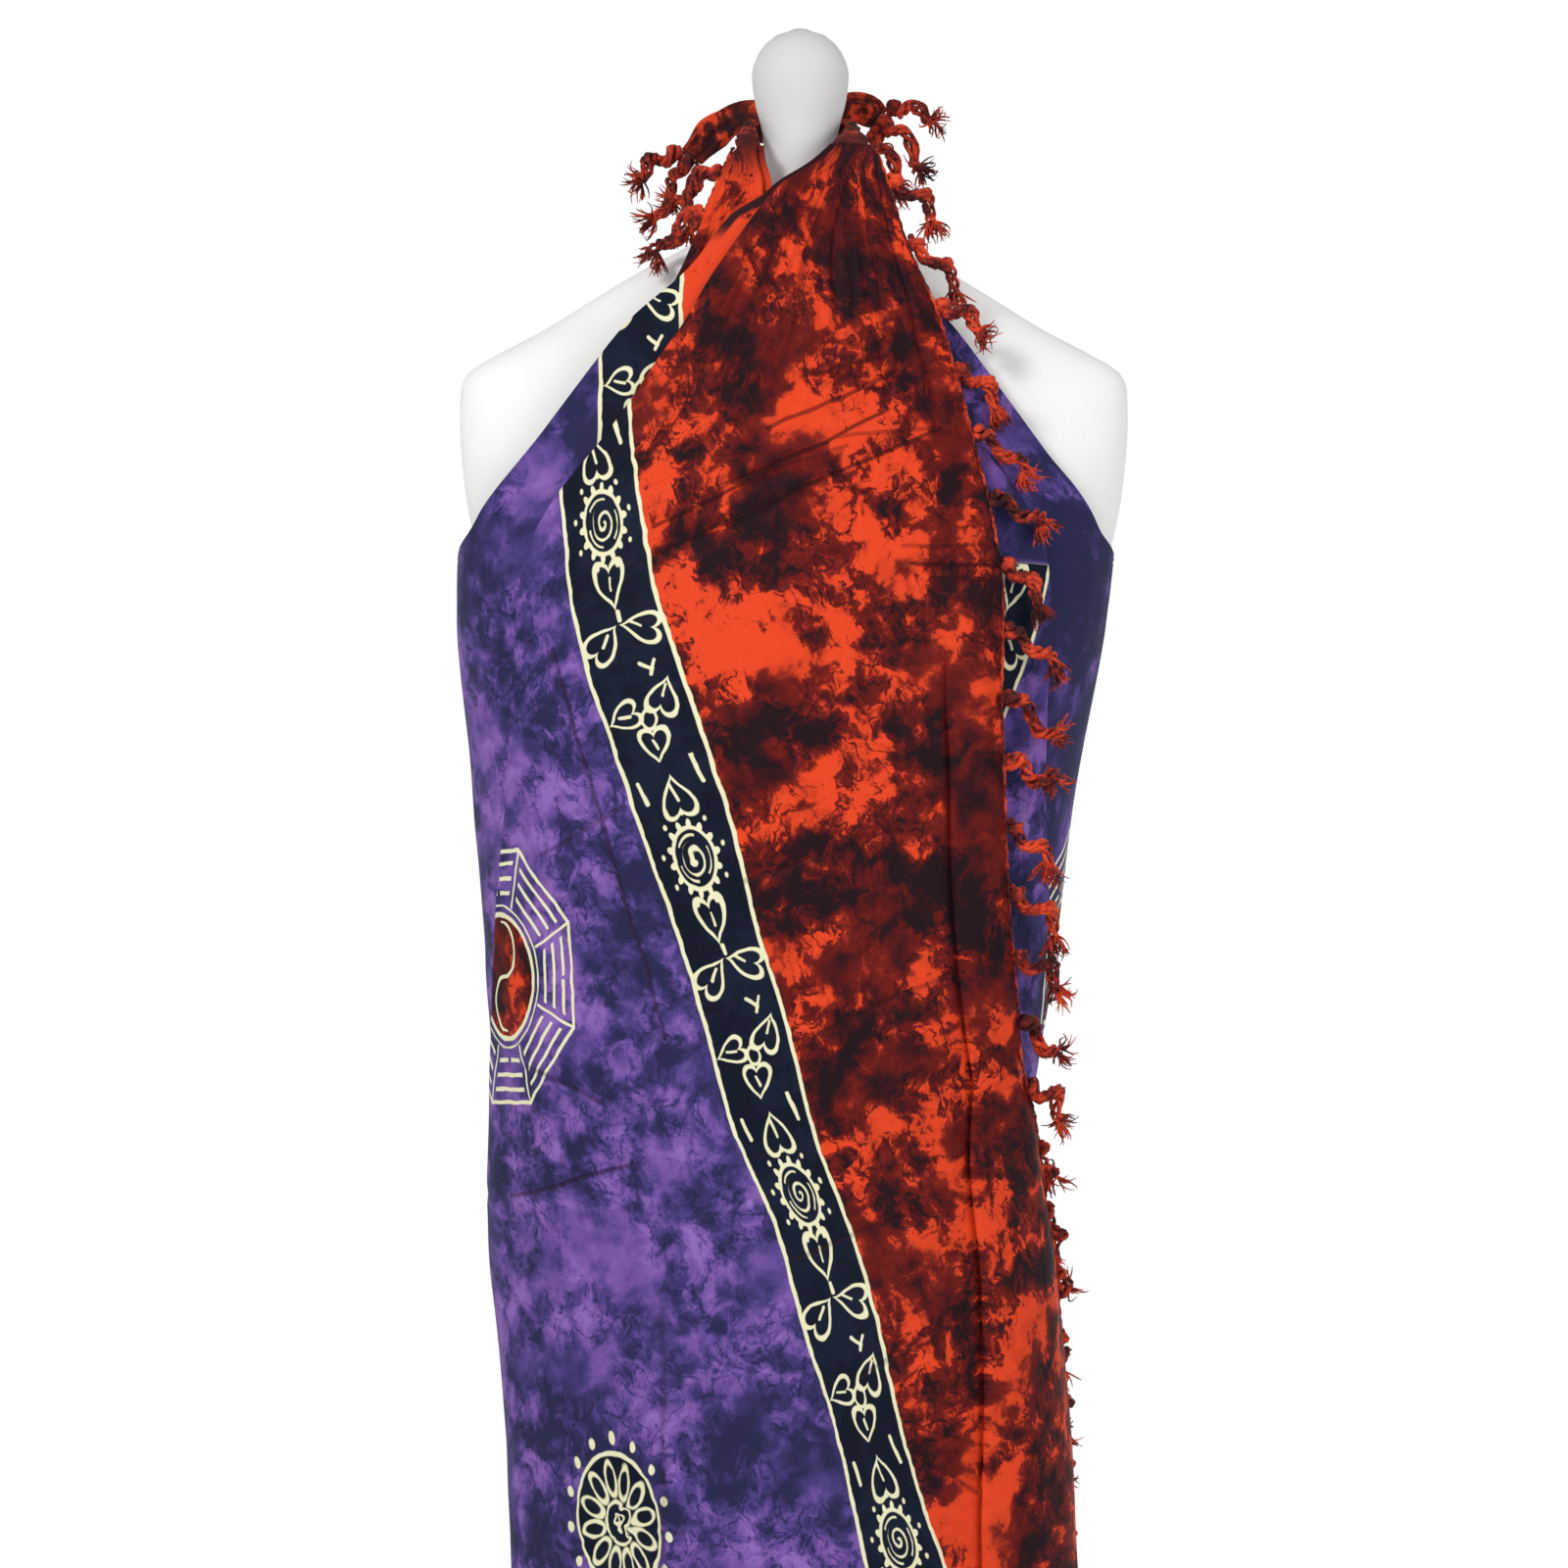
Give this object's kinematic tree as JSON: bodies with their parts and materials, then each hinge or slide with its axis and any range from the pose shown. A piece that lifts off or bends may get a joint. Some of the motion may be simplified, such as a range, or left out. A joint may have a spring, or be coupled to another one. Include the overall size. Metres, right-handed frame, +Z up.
{
  "type": "batik sarong tied as a halter wrap on a limbless dress form",
  "caption": "Rectangular fringed sarong wound round a white dress form, crossed at the chest, knotted behind the neck and hanging to the ankle, on a pole stand with a round base.",
  "frame": {"origin": "centre of the underside of the stand's round base, on the floor", "axes": "+Z up, the front of the wrap towards -Y, +X towards the wearer's left, which is the picture's right"},
  "size_m": [0.4111, 0.3, 1.5],
  "materials": {
    "orange_batik": "matt rayon dyed orange over dark maroon, with a printed band",
    "purple_batik": "matt rayon dyed mottled purple and indigo",
    "fringe_yarn": "twisted and knotted warp ends, frayed, orange over maroon",
    "form_jersey": "fine white jersey stretched over the form",
    "stand_metal": "satin steel"
  },
  "bodies": {
    "root": {"front_panel": "orange_batik", "under_panel": "orange_batik", "left_wrap": "purple_batik", "right_wrap": "purple_batik", "back_wrap": "purple_batik", "neck_band_left": "orange_batik", "neck_band_right": "orange_batik", "nape_knot": "orange_batik", "loose_end_left": "orange_batik", "loose_end_right": "orange_batik", "fringe_upper": "fringe_yarn", "fringe_middle": "fringe_yarn", "fringe_lower": "fringe_yarn", "fringe_under": "fringe_yarn", "fringe_end_left": "fringe_yarn", "fringe_end_right": "fringe_yarn", "dress_form": "form_jersey", "stand_pole": "stand_metal", "stand_collar": "stand_metal", "stand_hub": "stand_metal", "stand_base": "stand_metal"}
  },
  "joints": []
}
